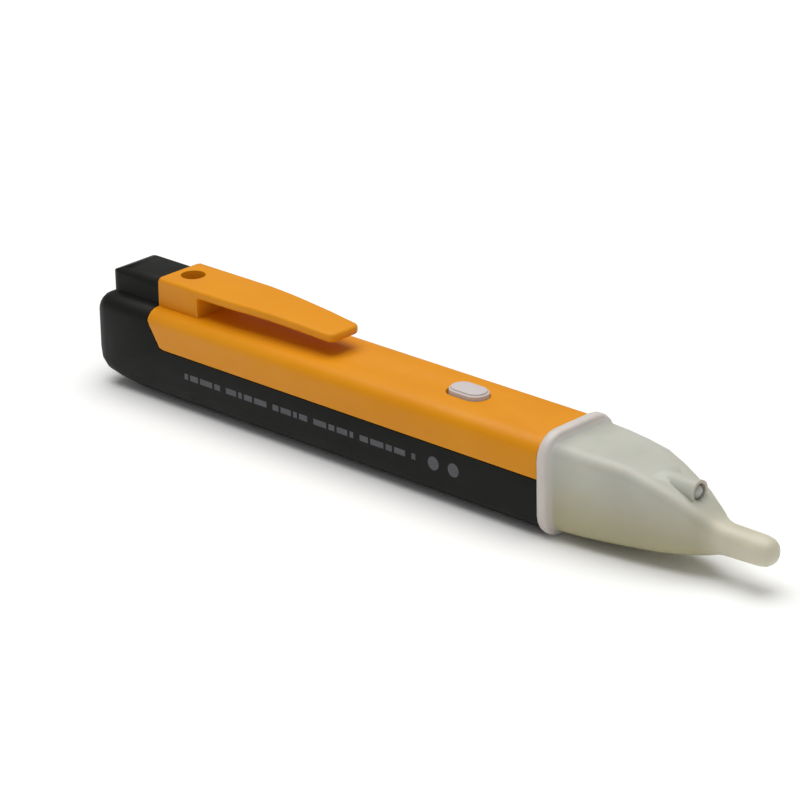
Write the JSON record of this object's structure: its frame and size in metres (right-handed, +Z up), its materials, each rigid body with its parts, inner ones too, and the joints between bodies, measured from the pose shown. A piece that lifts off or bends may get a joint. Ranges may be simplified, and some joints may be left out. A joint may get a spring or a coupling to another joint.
{
  "type": "non contact voltage tester",
  "caption": "Pen-shaped non contact voltage tester with a two-part housing, pocket clip, push button, torch lamp and sensing tip.",
  "frame": {"origin": "middle of the length and width, at the level of the collar's underside, the lowest point", "axes": "+X along the pen towards the sensing tip, +Z up towards the push button and clip, +Y across"},
  "size_m": [0.152, 0.0182, 0.0227],
  "materials": {
    "black_abs": "moulded, fine texture",
    "yellow_abs": "moulded, fine texture",
    "button_plastic": "moulded",
    "clear_polycarbonate": "frosted translucent",
    "carrier_abs": "moulded",
    "circuit_board": "solder mask",
    "component_plastic": "moulded",
    "cell_label": "printed sleeve",
    "plated_steel": "nickel plated",
    "brass": "plain",
    "lead_insulation": "PVC",
    "clear_epoxy": "clear",
    "red_epoxy": "clear red",
    "capacitor_sleeve": "sleeve",
    "ferrite": "ferrite",
    "resistor_ceramic": "ceramic chip"
  },
  "bodies": {
    "housing": {"lower_shell": "black_abs", "upper_shell": "yellow_abs"},
    "clip": {"pocket_clip": "yellow_abs"},
    "button": {"power_button": "button_plastic"},
    "front_unit": {"nose_cap": "clear_polycarbonate", "battery_chassis": "carrier_abs", "circuit_board": "circuit_board", "tact_switch": "component_plastic", "cell_rear": "cell_label", "cell_front": "cell_label", "rear_contact_spring": "plated_steel", "front_contact_plate": "plated_steel", "link_strip": "plated_steel", "piezo_disc": "brass", "piezo_leads": "lead_insulation", "torch_led": "clear_epoxy", "torch_led_leads": "plated_steel", "alert_led": "red_epoxy", "alert_led_leads": "plated_steel", "sensing_antenna": "brass", "antenna_spring": "plated_steel", "controller_chip": "component_plastic", "surface_mount_parts": "resistor_ceramic", "transistors": "component_plastic", "reservoir_capacitor": "capacitor_sleeve", "boost_inductor": "ferrite", "board_screws": "plated_steel"},
    "plunger": {"switch_plunger": "component_plastic"}
  },
  "joints": [
    {"name": "front_unit_slide", "type": "slide", "parent": "housing", "child": "front_unit", "axis": [1, 0, 0], "range_m": [0, 0.11]},
    {"name": "button_press", "type": "slide", "parent": "housing", "child": "button", "axis": [0, 0, -1], "range_m": [0, 0.0004], "stiffness_N_per_m": 300, "springref_m": -0.0005},
    {"name": "plunger_press", "type": "slide", "parent": "front_unit", "child": "plunger", "axis": [0, 0, -1], "range_m": [0, 0.0004]},
    {"name": "clip_flex", "type": "hinge", "parent": "housing", "child": "clip", "pos_m": [-0.05112, 0, 0.02187], "axis": [0, -1, 0], "range_deg": [0, 6], "stiffness_Nm_per_rad": 2}
  ],
  "couplings": [
    {"joint": "plunger_press", "follows": "button_press", "ratio": 1}
  ]
}
